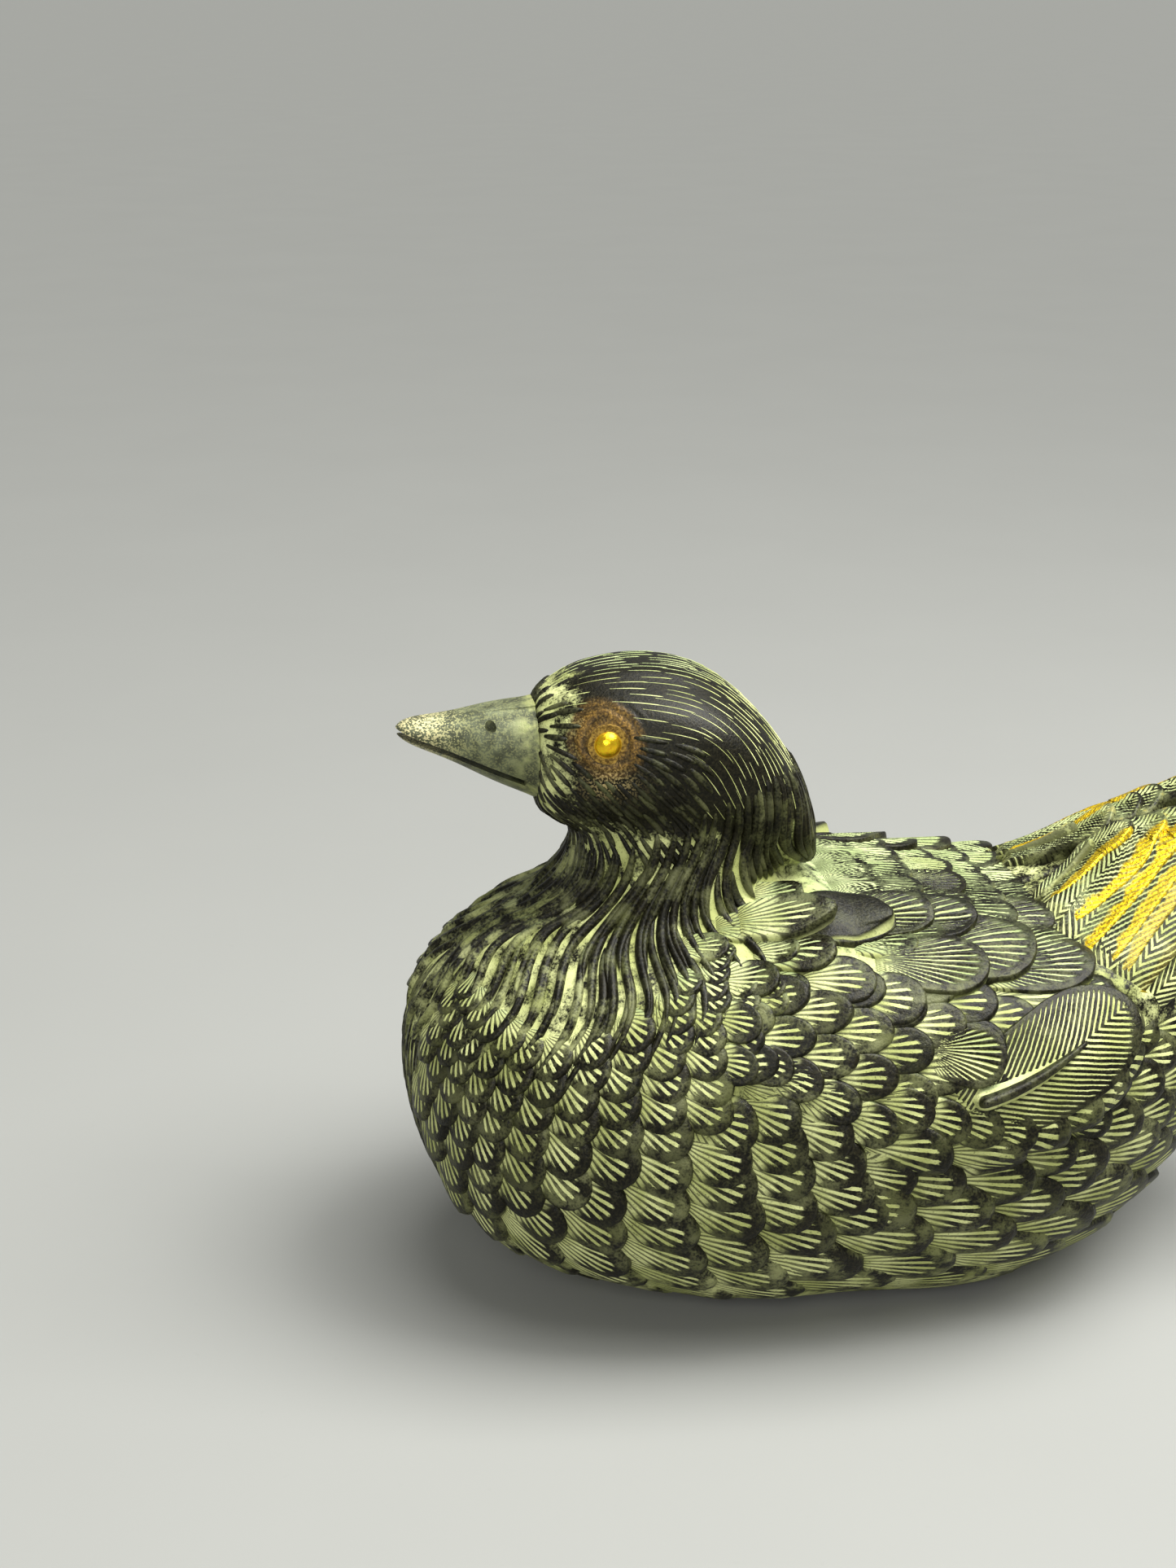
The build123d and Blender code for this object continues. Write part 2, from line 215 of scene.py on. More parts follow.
def skin(names, filler, voxel, rounds):
    """One smooth closed skin over several CAD solids."""
    points, faces = node_triangles(names)
    if filler:
        faces = np.concatenate([faces, filler[1] + len(points)])
        points = np.concatenate([points, filler[0]])
    mesh = new_mesh("skin", points, faces)
    piece = linked("skin", mesh)
    remesh = piece.modifiers.new("remesh", "REMESH")
    remesh.mode = "VOXEL"
    remesh.voxel_size = voxel * MM
    relax = piece.modifiers.new("relax", "SMOOTH")
    relax.factor = 0.5
    relax.iterations = rounds
    made = bpy.data.meshes.new_from_object(piece.evaluated_get(bpy.context.evaluated_depsgraph_get()))
    co = mesh_points(made)
    corners = np.empty(len(made.loops), np.int32)
    made.loops.foreach_get("vertex_index", corners)
    bpy.data.objects.remove(piece)
    bpy.data.meshes.remove(mesh)
    bpy.data.meshes.remove(made)
    return outer_part(co.astype(float) / MM - SHIFT, corners.reshape(-1, 4))


# -------- feathers

SLANT = 0.95  # of the barbs beside the shaft of a long feather
FOCUS = 1.6  # how far back of the round tip fanned barbs meet
ROOT_SHARE, ROOT_DEPTH = 0.14, 0.35  # how much of a feather dips at its root, and how deep
TIP_EASE, EDGE_EASE = 1.5, 1.35  # how rows crowd at the tip and columns at the edges
LAYER = 4.0  # mm off the surface where a seed has no neighbours
UV_MARGIN = 0.06  # of a feather's cell


class Sheet:
    """Collects feathers that become one piece."""

    def __init__(self, name):
        self.name = name
        self.points, self.faces, self.leaf, self.bake, self.finish, self.barbs = ([] for _ in range(6))
        self.count, self.cells = 0, 0

    def add(self, grid, leaf, cell, finish, barbs):
        """grid is feathers x rows x columns x 3; leaf is the place on the feather."""
        n, rows, cols = grid.shape[:3]
        corner = np.arange(n * rows * cols).reshape(n, rows, cols) + self.count
        quad = np.stack([corner[:, :-1, :-1], corner[:, :-1, 1:], corner[:, 1:, 1:], corner[:, 1:, :-1]], -1)
        self.points.append(grid.reshape(-1, 3))
        self.faces.append(quad.reshape(-1, 4))
        self.leaf.append(leaf.reshape(-1, 2))
        number = np.repeat(np.arange(n) + self.cells, rows * cols)[:, None]
        self.bake.append(np.concatenate([cell.reshape(-1, 2), number], 1))
        self.finish.append(finish.reshape(-1, 4))
        self.barbs.append(np.broadcast_to(barbs[:, None], (n, rows * cols)).reshape(-1))
        self.count += n * rows * cols
        self.cells += n

    def piece(self, material, slot, *stands_for):
        faces = np.concatenate(self.faces)
        mesh = new_mesh(self.name, np.concatenate(self.points), faces)
        attribute(mesh, "leaf", "FLOAT2", np.concatenate(self.leaf))
        attribute(mesh, "barbs", "FLOAT", np.concatenate(self.barbs))
        attribute(mesh, "finish", "FLOAT_COLOR", np.concatenate(self.finish))
        bake = np.concatenate(self.bake)[faces.ravel()]
        across = math.ceil(math.sqrt(self.cells))
        cell = np.stack([bake[:, 2] % across, bake[:, 2] // across], -1)
        uv = (cell + UV_MARGIN + (1 - 2 * UV_MARGIN) * bake[:, :2]) / across
        mesh.uv_layers.new(name="OFBake").data.foreach_set("uv", uv.astype(np.float32).ravel())
        show(self.name, mesh, material, slot, *stands_for)


def resample(path, at):
    """Points at the fractions `at` of each path's length."""
    n = len(path)
    gap = np.linalg.norm(np.diff(path, axis=1), axis=-1)
    run = np.concatenate([np.zeros((n, 1)), np.cumsum(gap, 1)], 1)
    run = run / np.maximum(run[:, -1:], 1e-9)
    out = np.empty((n, len(at), 3))
    for i in range(n):
        for axis in range(3):
            out[i, :, axis] = np.interp(at, run[i], path[i, :, axis])
    return out


def evened(path, count):
    """One path with evenly spaced points, without the misses of rays."""
    path = path[np.isfinite(path).all(-1)]
    return resample(path[None], np.linspace(0, 1, count))[0]


def lay(sheet, surface, path, half, rise, base=0.0, straight=1.0, taper=0.25, dome=0.0, sink=0.25,
        bevel=0.14, rows=10, cols=10, patina=0.3, gilt=0.0, comb=1.0, barbs=40.0, carve=0.0):
    """Lays feathers on a surface. Each follows its path from its root to its tip.
    straight is the length of the parallel-sided part against that of the round tip,
    rise the lift of the tip, and carve the depth of barbs that are cut in the metal.
    barbs is the number of barbs that fan out, or below 0 the pace of slanted ones."""
    n = len(path)
    column = lambda v: np.broadcast_to(np.asarray(v, float), (n,)).reshape(n, 1, 1)
    half, rise, base, dome, sink, carve = map(column, (half, rise, base, dome, sink, carve))
    # v runs from root to tip and u across. y is 0 where the round tip starts and 1
    # at its end, and rho is the distance from its middle, or from the shaft below it.
    v = 1 - (1 - np.linspace(0, 1, rows + 1)) ** TIP_EASE
    u = np.linspace(-1, 1, cols + 1)
    u = np.sign(u) * (1 - (1 - np.abs(u)) ** EDGE_EASE)
    y = -straight + (1 + straight) * v
    width = np.where(y < 0, 1 - taper * (np.minimum(y, 0) / straight) ** 2,
                     np.sqrt(np.maximum(1 - np.maximum(y, 0) ** 2, 0)))
    spine = resample(path, v)
    _, normal = surface.settle(spine)
    ahead = unit(np.gradient(spine, axis=1))
    side = unit(np.cross(normal, ahead))
    grid = spine[:, :, None] + side[:, :, None] * (u * width[:, None])[None, ..., None] * half[..., None]
    where, up = surface.settle(grid)
    x = (u[None] * width[:, None])[None]
    yy = y[None, :, None]
    rho = np.where(yy < 0, np.abs(u)[None, None], np.sqrt(x ** 2 + np.maximum(yy, 0) ** 2))
    grow = (v ** 1.1)[None, :, None]
    rooted = step(0.0, ROOT_SHARE, v)[None, :, None]
    height = base * rooted - ROOT_DEPTH * (1 - rooted) + rise * grow + dome * (1 - x ** 2) * grow
    count = np.broadcast_to(np.asarray(barbs, float), (n,))
    tally = count.reshape(n, 1, 1)
    phase = np.where(tally < 0, (yy - SLANT * np.abs(x)) * -tally, np.arctan2(x, yy + FOCUS) * tally)
    stripe = 0.5 + 0.5 * np.cos(phase)
    groove = step(0.35, 0.9, stripe) * (1 - step(0.62, 0.8, rho)) * step(0.02, 0.2, v)[None, :, None]
    height = height - carve * groove
    edge = np.sqrt(np.maximum(1 - step(0, 1, (rho - (1 - bevel)) / bevel) ** 2, 0))
    height = (height + sink) * edge - sink
    grid = where + up * height[..., None]
    shape = grid.shape[:3]
    leaf = np.stack([np.broadcast_to(x, shape), np.broadcast_to(yy, shape)], -1)
    cell = np.stack([np.broadcast_to((u + 1) / 2, shape), np.broadcast_to(v[:, None], shape)], -1)
    field = lambda value: np.broadcast_to(np.reshape(value, (-1, 1, 1)), shape)
    chance = np.broadcast_to(rng.random(n).reshape(n, 1, 1), shape)
    finish = np.stack([field(patina), field(gilt), field(comb), chance], -1)
    sheet.add(grid, leaf, cell, finish, count)


def trace(surface, seed, way, length, steps, back=0.0):
    """Paths that follow the direction field `way` along the surface from the seeds."""
    length = np.broadcast_to(np.asarray(length, float), (len(seed),))

    def run(sign, span):
        p, _ = surface.settle(seed)
        out = [p]
        for _ in range(steps):
            _, normal = surface.settle(p)
            d = tangent(way(p, normal), normal)
            p, _ = surface.settle(p + sign * d * (span / steps)[:, None])
            out.append(p)
        return np.stack(out, 1)

    ahead = run(1.0, length * (1 - back))
    if back <= 0:
        return ahead
    behind = run(-1.0, length * back)
    return np.concatenate([behind[:, :0:-1], ahead], 1)


def trimmed(paths, ok, count):
    """The paths cut back to where ok(p) holds, without those that get too short."""
    kept = []
    for path in paths:
        good = path[ok(path)]
        if len(good) >= 4:
            kept.append(evened(good, count))
    return np.array(kept)


def scatter(surface, inside, across, along, way, tries):
    """Evenly spread seeds: none lies within `across` beside another and `along` in line."""
    face = surface.faces
    corner = surface.points[face]
    area = np.linalg.norm(np.cross(corner[:, 2] - corner[:, 0], corner[:, 3] - corner[:, 1]), axis=-1) / 2
    area = area * inside(corner.mean(1))
    pick = rng.choice(len(face), tries, p=area / area.sum())
    mix = rng.random((tries, 2))
    a, b = mix[:, :1], mix[:, 1:]
    c = corner[pick]
    p = c[:, 0] * ((1 - a) * (1 - b)) + c[:, 1] * (a * (1 - b)) + c[:, 2] * (a * b) + c[:, 3] * ((1 - a) * b)
    p, normal = surface.settle(p)
    d = tangent(way(p, normal), normal)
    side = np.cross(normal, d)
    space = across(p) if callable(across) else np.full(tries, across)
    kept = np.empty((0, 3))
    order = []
    for i in range(tries):
        if len(kept):
            gap = kept - p[i]
            near = ((np.abs(gap @ side[i]) / space[i]) ** 2 + (np.abs(gap @ d[i]) / along) ** 2
                    + (np.abs(gap @ normal[i]) / LAYER) ** 2)
            if near.min() < 1:
                continue
        kept = np.concatenate([kept, p[i:i + 1]])
        order.append(i)
    return p[order]


# -------- materials

class Graph:
    """Short words for building a node tree."""

    def __init__(self, name):
        self.material = bpy.data.materials.new(name)
        self.material.use_nodes = True
        self.tree = self.material.node_tree
        self.tree.nodes.clear()
        self.out = self.tree.nodes.new("ShaderNodeOutputMaterial")
        self.shader = self.tree.nodes.new("ShaderNodeBsdfPrincipled")
        self.tree.links.new(self.shader.outputs[0], self.out.inputs[0])

    def put(self, socket, value):
        if isinstance(value, bpy.types.NodeSocket):
            self.tree.links.new(value, socket)
        else:
            socket.default_value = value

    def math(self, op, *values, clamp=False):
        node = self.tree.nodes.new("ShaderNodeMath")
        node.operation, node.use_clamp = op, clamp
        for socket, value in zip(node.inputs, values):
            self.put(socket, value)
        return node.outputs[0]

    def add(self, a, b): return self.math("ADD", a, b)
    def sub(self, a, b): return self.math("SUBTRACT", a, b)
    def mul(self, a, b): return self.math("MULTIPLY", a, b)
    def high(self, a, b): return self.math("MAXIMUM", a, b)
    def low(self, a, b): return self.math("MINIMUM", a, b)
    def inv(self, a): return self.math("SUBTRACT", 1.0, a)

    def ramp(self, x, a, b, to_a=0.0, to_b=1.0):
        node = self.tree.nodes.new("ShaderNodeMapRange")
        node.interpolation_type = "SMOOTHSTEP"
        for key, value in zip(("Value", "From Min", "From Max", "To Min", "To Max"), (x, a, b, to_a, to_b)):
            self.put(node.inputs[key], value)
        return node.outputs[0]

    def named(self, name, out="Fac"):
        node = self.tree.nodes.new("ShaderNodeAttribute")
        node.attribute_name = name
        return node.outputs[out]

    def finish(self):
        """The four parts of a piece's `finish`."""
        node = self.tree.nodes.new("ShaderNodeAttribute")
        node.attribute_name = "finish"
        colour = self.tree.nodes.new("ShaderNodeSeparateColor")
        self.put(colour.inputs[0], node.outputs["Color"])
        return *(colour.outputs[k] for k in range(3)), node.outputs["Alpha"]

    def split(self, vector):
        node = self.tree.nodes.new("ShaderNodeSeparateXYZ")
        self.put(node.inputs[0], vector)
        return node.outputs

    def place(self):
        return self.tree.nodes.new("ShaderNodeTexCoord").outputs["Object"]

    def noise(self, size, detail=3.0, rough=0.55):
        """Noise with grains of about `size` millimetres."""
        node = self.tree.nodes.new("ShaderNodeTexNoise")
        self.put(node.inputs["Vector"], self.place())
        node.inputs["Scale"].default_value = 1 / (size * MM)
        node.inputs["Detail"].default_value = detail
        node.inputs["Roughness"].default_value = rough
        return node.outputs["Fac"]

    def mix(self, amount, a, b):
        node = self.tree.nodes.new("ShaderNodeMix")
        node.data_type = "RGBA"
        self.put(node.inputs["Factor"], amount)
        for socket, value in ((node.inputs[6], a), (node.inputs[7], b)):
            self.put(socket, value if isinstance(value, bpy.types.NodeSocket) else (*value, 1.0))
        return node.outputs[2]

    def bump(self, height, depth):
        node = self.tree.nodes.new("ShaderNodeBump")
        node.inputs["Distance"].default_value = depth * MM
        node.inputs["Strength"].default_value = 1.0
        self.put(node.inputs["Height"], height)
        return node.outputs[0]

    def done(self, colour, rough, metal, normal=None):
        self.shader.inputs["Specular IOR Level"].default_value = 0.22
        self.put(self.shader.inputs["Base Color"], colour)
        self.put(self.shader.inputs["Roughness"], rough)
        self.put(self.shader.inputs["Metallic"], metal)
        if normal is not None:
            self.put(self.shader.inputs["Normal"], normal)
        return self.material


DARK = (0.003, 0.003, 0.001)
BRONZE = (0.016, 0.014, 0.006)
PATINA = (0.360, 0.390, 0.130)
PALE = (0.620, 0.650, 0.290)
SEA = (0.230, 0.360, 0.210)
GOLD = (0.880, 0.640, 0.020)
OCHRE = (0.400, 0.240, 0.015)
SAND = (0.560, 0.440, 0.190)
LID_DARK, LID_PALE = (0.07, 0.040, 0.010), (0.27, 0.155, 0.03)
RING_DARK, RING_PALE = (0.10, 0.055, 0.012), (0.38, 0.24, 0.05)
AMBER = (0.85, 0.44, 0.02)
HORN_DARK, HORN_PALE = (0.055, 0.060, 0.035), (0.130, 0.145, 0.085)
IVORY = (0.62, 0.56, 0.30)
PAPER_PALE, PAPER_DARK = (0.275, 0.277, 0.258), (0.225, 0.227, 0.211)


def aged(g, patina, cool, gilt, dark_noise, fine):
    """Dark worn bronze, chalky green patina and rubbed gilding, by their masks."""
    metal_colour = g.mix(dark_noise, DARK, BRONZE)
    green = g.mix(g.ramp(g.noise(6.0, 2.0), 0.35, 0.68), PATINA, PALE)
    green = g.mix(cool, green, SEA)
    green = g.mix(g.ramp(fine, 0.54, 0.76, 0.0, 0.70), green, BRONZE)
    base = g.mix(patina, metal_colour, green)
    gold = g.mix(g.ramp(fine, 0.30, 0.62), OCHRE, GOLD)
    base = g.mix(gilt, base, gold)
    rough = g.add(g.mul(patina, 0.36), 0.34)
    rough = g.sub(g.add(rough, g.mul(fine, 0.12)), g.mul(gilt, 0.16))
    metal = g.high(g.math("SUBTRACT", 0.30, g.mul(patina, 0.40), clamp=True), g.mul(gilt, 0.80))
    return base, rough, metal


def feather_material(name):
    """Every feather: pale barbs and root, a dark burnished rim, green in the step below it."""
    g = Graph(name)
    leaf = g.split(g.named("leaf", "Vector"))
    x, y = leaf[0], leaf[1]
    patina, gilt, comb, chance = g.finish()
    count = g.named("barbs")
    fine = g.noise(0.35, 4.0)
    broad = g.noise(3.2, 3.0)
    rho = g.math("SQRT", g.add(g.mul(x, x), g.math("POWER", g.high(y, 0.0), 2.0)))
    grain = g.add(g.mul(broad, 0.16), g.mul(fine, 0.14))
    loose = g.add(rho, g.sub(grain, 0.15))
    long = g.math("LESS_THAN", count, -0.5)
    big = g.ramp(count, 42.5, 46.0)
    inner = g.add(g.add(0.50, g.mul(long, 0.30)), g.mul(big, 0.17))
    outer = g.add(g.add(0.58, g.mul(long, 0.28)), g.mul(big, 0.17))
    rim = g.ramp(loose, inner, outer)
    fanned = g.mul(g.math("ARCTAN2", x, g.add(y, FOCUS)), count)
    slanted = g.mul(g.sub(g.mul(g.math("ABSOLUTE", x), SLANT), y), count)
    phase = g.add(g.mul(fanned, g.inv(long)), g.mul(slanted, long))
    stripe = g.add(g.mul(g.math("COSINE", g.add(phase, g.mul(broad, 2.2))), 0.5), 0.5)
    torn = g.add(stripe, g.mul(g.sub(fine, 0.5), 0.6))
    across = g.add(g.mul(rho, g.inv(long)), g.mul(g.math("ABSOLUTE", x), long))
    outward = g.low(g.mul(across, g.sub(1.5, g.mul(big, 0.35))), 1.0)
    keen = g.add(0.36, g.mul(g.math("POWER", outward, 2.0), 0.36))
    groove = g.ramp(torn, keen, g.add(keen, 0.20))
    groove = g.mul(g.mul(groove, g.inv(rim)), comb)
    start = g.sub(0.22, g.mul(big, 0.75))
    root = g.ramp(g.add(y, g.mul(grain, 1.6)), start, g.sub(start, 0.42))
    root = g.mul(root, g.mul(comb, g.sub(1.0, g.mul(long, 0.90))))
    root = g.mul(root, g.ramp(torn, 0.06, 0.42, 0.20, 1.0))
    valley = g.ramp(rho, g.add(0.84, g.mul(comb, 0.11)), g.add(0.93, g.mul(comb, 0.06)))
    valley = g.mul(valley, g.mul(g.inv(gilt), 0.9))
    wash = g.ramp(g.add(g.mul(broad, 0.8), g.mul(fine, 0.35)), 0.50, 0.74)
    wash = g.mul(wash, g.add(patina, g.mul(chance, 0.12)))
    masks = g.high(g.high(g.mul(groove, 0.95), g.mul(root, 0.85)), g.high(valley, wash))
    masks = g.high(masks, g.ramp(patina, 0.85, 1.0))
    worn = g.ramp(g.add(fine, g.mul(chance, 0.1)), 0.40, 0.75)
    band = g.ramp(g.sub(g.mul(g.sub(broad, 0.5), 0.8), x), 0.36, 0.50)
    band = g.high(band, g.ramp(broad, 0.60, 0.78, 0.0, 0.5))
    gold = g.mul(g.mul(gilt, band), g.add(0.35, g.mul(g.ramp(torn, 0.10, 0.34), 0.65)))
    up = g.split(g.tree.nodes.new("ShaderNodeNewGeometry").outputs["Normal"])[2]
    cool = g.mul(g.ramp(up, 0.75, 1.0), 0.35)
    base, rough, metal = aged(g, masks, cool, gold, worn, fine)
    height = g.add(g.mul(g.inv(groove), 0.75), g.mul(fine, 0.45))
    return g.done(base, rough, metal, g.bump(height, 0.20))


EYE = np.array([-34.2, 11.0, 80.4])
IRIS, LID = (1.9, 1.5), (5.2, 3.8)  # radii between which they fade out
FROM_SIDE = np.array([1.0, 0.0, 1.0])


def eye_gap(p):
    """Millimetres from the middle of the eye, seen from the side."""
    return np.linalg.norm((p - EYE) * FROM_SIDE, axis=-1)


def ring_distance(g):
    """The same, in a material."""
    at = metres(EYE)
    place = g.split(g.place())
    dx, dz = g.sub(place[0], float(at[0])), g.sub(place[2], float(at[2]))
    return g.mul(g.math("SQRT", g.add(g.mul(dx, dx), g.mul(dz, dz))), 1 / MM)


def skin_material(name):
    """The plain cast skin: patina in drifts, its tone set over the body by `finish`."""
    g = Graph(name)
    patina, gilt, cool, sandy = g.finish()
    fine = g.noise(0.30, 5.0)
    broad = g.noise(2.6, 4.0, 0.62)
    cover = g.mul(patina, 0.70)
    drift = g.ramp(g.add(g.mul(broad, 0.75), g.mul(fine, 0.35)), g.sub(0.86, cover), g.sub(1.06, cover))
    base, rough, metal = aged(g, drift, cool, 0.0, g.ramp(fine, 0.35, 0.7), fine)
    ring = ring_distance(g)
    lines = g.add(g.mul(g.math("SINE", g.mul(g.add(ring, g.mul(broad, 1.5)), 5.0)), 0.5), 0.5)
    ochre = g.ramp(g.add(g.mul(lines, 0.25), broad), 0.40, 0.75, 0.35, 0.95)
    ochre = g.mul(g.mul(g.ramp(ring, *LID), gilt), ochre)
    base = g.mix(ochre, base, g.mix(g.ramp(fine, 0.4, 0.7), LID_DARK, LID_PALE))
    sand = g.mul(g.mul(sandy, g.ramp(fine, 0.45, 0.6)), 0.75)
    base = g.mix(sand, base, SAND)
    height = g.add(g.add(g.mul(fine, 0.6), g.mul(drift, 0.5)), g.mul(g.mul(lines, gilt), 0.8))
    return g.done(base, rough, metal, g.bump(height, 0.10))


def eye_material(name):
    """A bright rubbed dome in an ochre ring."""
    g = Graph(name)
    fine = g.noise(0.30, 4.0)
    bright = g.ramp(ring_distance(g), *IRIS)
    shade = g.mix(g.ramp(fine, 0.35, 0.65), RING_DARK, RING_PALE)
    base = g.mix(bright, shade, g.mix(g.ramp(fine, 0.3, 0.7), AMBER, GOLD))
    rough, metal = g.add(0.24, g.mul(g.inv(bright), 0.25)), g.add(0.5, g.mul(bright, 0.4))
    return g.done(base, rough, metal, g.bump(fine, 0.04))


def cast_material(name, patina, cool=0.0, gold=0.0):
    """For a CAD solid that stays as it is: constant tone with procedural wear."""
    g = Graph(name)
    fine = g.noise(0.32, 5.0)
    broad = g.noise(2.4, 3.0)
    drift = g.ramp(g.add(g.mul(broad, 0.7), g.mul(fine, 0.4)), 0.90 - 0.7 * patina, 1.10 - 0.7 * patina)
    rubbed = g.mul(g.ramp(g.add(g.mul(fine, 0.8), g.mul(broad, 0.3)), 0.50, 0.66), gold)
    gilt = g.high(rubbed, gold * 0.85)
    base, rough, metal = aged(g, drift, cool, gilt, g.ramp(fine, 0.35, 0.7), fine)
    return g.done(base, rough, metal, g.bump(fine, 0.05))


BILL_TIP_X = -60.0


def bill_material(name):
    """Grey-green horn with pale specks at the tip and a pale line by the gape."""
    g = Graph(name)
    fine = g.noise(0.28, 4.0)
    broad = g.noise(2.2, 3.0)
    tip = float(metres((BILL_TIP_X, 0, 0))[0])
    along = g.mul(g.sub(g.split(g.place())[0], tip), 1 / MM)
    speck = g.mul(g.ramp(g.add(fine, g.mul(broad, 0.25)), 0.60, 0.68), g.ramp(along, 11.0, 3.0, 0.25, 1.0))
    root = g.mul(g.ramp(along, 13.0, 19.0), g.ramp(broad, 0.38, 0.62))
    base = g.mix(g.ramp(broad, 0.3, 0.7), HORN_DARK, HORN_PALE)
    base = g.mix(g.high(speck, g.mul(root, 0.8)), base, g.mix(speck, PATINA, IVORY))
    return g.done(base, g.add(0.38, g.mul(fine, 0.2)), 0.25, g.bump(fine, 0.06))


feathered = feather_material("feathered_bronze")
plain = skin_material("plain_bronze")

# -------- the body's skin

MIDDLE = np.array([-3.0, 0.0, 27.5])  # of the body, without the neck
# How far the back and the fans are dressed down. Each row is x, the level of
# the widest place there, the level of the top, and the drop of the top.
BACK_DROP = np.array([(-6, 30, 58, 0), (-3, 30, 58, 1.2), (8, 30, 57, 2.2), (21, 31.5, 55, 3.5),
                      (32, 33.5, 53, 3.5), (41, 36, 51, 2.5), (48, 38.5, 49.5, 1.7), (54, 41, 47.5, 1.0)])
FAN_DROP = np.array([(16, 31, 58, 4.2), (24, 33, 57.8, 5.2), (32, 36, 58.8, 4.2), (40, 40, 61.2, 3.0),
                     (48, 45, 63.8, 2.0), (55, 51, 65.8, 0.8), (61, 56, 67, 0.0)])


def dressed(points, table):
    """Points of a casting with its upper part lowered, and nothing moved below the widest place."""
    wide, top, drop = (np.interp(points[:, 0], table[:, 0], table[:, k]) for k in (1, 2, 3))
    lowered = points.copy()
    lowered[:, 2] -= drop * np.clip((points[:, 2] - wide) / (top - wide), 0.0, 1.1)
    return lowered


body_points, body_faces = skin(["body_shell", "left_wing", "right_wing", "head_neck", "base_plate"],
                               core(["body_shell"], MIDDLE, share=0.94), voxel=0.75, rounds=10)
body = Surface(dressed(body_points, BACK_DROP), body_faces)

HALF = np.array([57.0, 33.0, 31.0])  # of the body's length, width and height
NECK_POLE, TAIL_POLE = np.array([-25.0, 0.0, 58.0]), np.array([55.0, 0.0, 41.0])
# The bib line, the wing's outline and the lower edge of the shingled back, all as x, z from the side.
SEAM = np.array([(-68, 53), (-54.5, 47.6), (-48, 45), (-42, 43.6), (-35, 45.6), (-28, 49.5),
                 (-21, 53.4), (-15, 56.6), (-7, 58.4), (6, 62)], float)
WING = np.array([(-24, 44), (-16, 36.5), (-5, 31.3), (8, 29.6), (20, 31), (29.5, 37), (33, 43.5),
                 (26.5, 48), (12, 51.4), (-4, 53.8), (-18, 51)], float)
WING_MIDDLE = MIDDLE[[0, 2]] * [-1.5, 1.35]
MANTLE = np.array([(-19, 51.5), (8, 49.5), (21, 46.0), (30, 44.5)])


def above_seam(p, lift=0.0):
    """True on the neck's side of the bib line."""
    return p[..., 2] > np.interp(p[..., 0], SEAM[:, 0], SEAM[:, 1]) + lift


def near(p, middle, spread):
    """1 at a place on either side, and less away from it."""
    gap = (np.stack([p[:, 0], np.abs(p[:, 1]), p[:, 2]], -1) - middle) / spread
    return np.exp(-(gap ** 2).sum(-1))


def within(outline, x, z):
    inside = np.zeros(np.shape(x), bool)
    for (x0, z0), (x1, z1) in zip(outline, np.roll(outline, -1, 0)):
        crosses = (z0 > z) != (z1 > z)
        inside ^= crosses & (x < (x1 - x0) * (z - z0) / (z1 - z0 + 1e-12) + x0)
    return inside


# Scales run in rings from the neck to the tail: a conformal chart of a sphere
# with two poles, so their rows widen over the flanks as the bird does.
def sphere(point):
    return unit((point - MIDDLE) / HALF)


tail_pole = sphere(TAIL_POLE)
turn = math.atan2(tail_pole[0], tail_pole[2])


def turned(q, angle):
    c, s = math.cos(angle), math.sin(angle)
    return np.stack([c * q[..., 0] - s * q[..., 2], q[..., 1], s * q[..., 0] + c * q[..., 2]], -1)


neck_flat = turned(sphere(NECK_POLE), turn)
neck_flat = neck_flat[0] / (1 - neck_flat[2])


def chart_point(t, s):
    """The place on the body of ring t (0 at the neck) and bearing s, by a ray from its middle."""
    w = neck_flat - np.exp(t + 1j * s)
    size = np.abs(w) ** 2
    q = np.stack([2 * w.real, 2 * w.imag, size - 1], -1) / (size + 1)[..., None]
    return body.cast(MIDDLE, unit(turned(q, -turn) * HALF))


# -------- scales of the body

LIP = 4.5  # level of the plain lip over the base
BREAST_STRIP, BREAST_BACK = 9.0, -44  # half width and rear end of the plain middle of the breast
STERN = 54.5  # where the scales end under the tail
LONGEST, WIDEST = 22, 12  # scales past these lie where the chart is torn
# Bands of scales from neck to tail: first ring, last ring, scales in a ring, step from ring to ring.
BANDS = [(-0.80, 0.10, 58, 0.060), (0.10, 0.45, 45, 0.054), (0.45, 0.80, 34, 0.066), (0.80, 1.95, 25, 0.082)]
REACH = (2.7, 1.8, 0.9, 0.0)  # from root to tip of a scale, in steps of its band


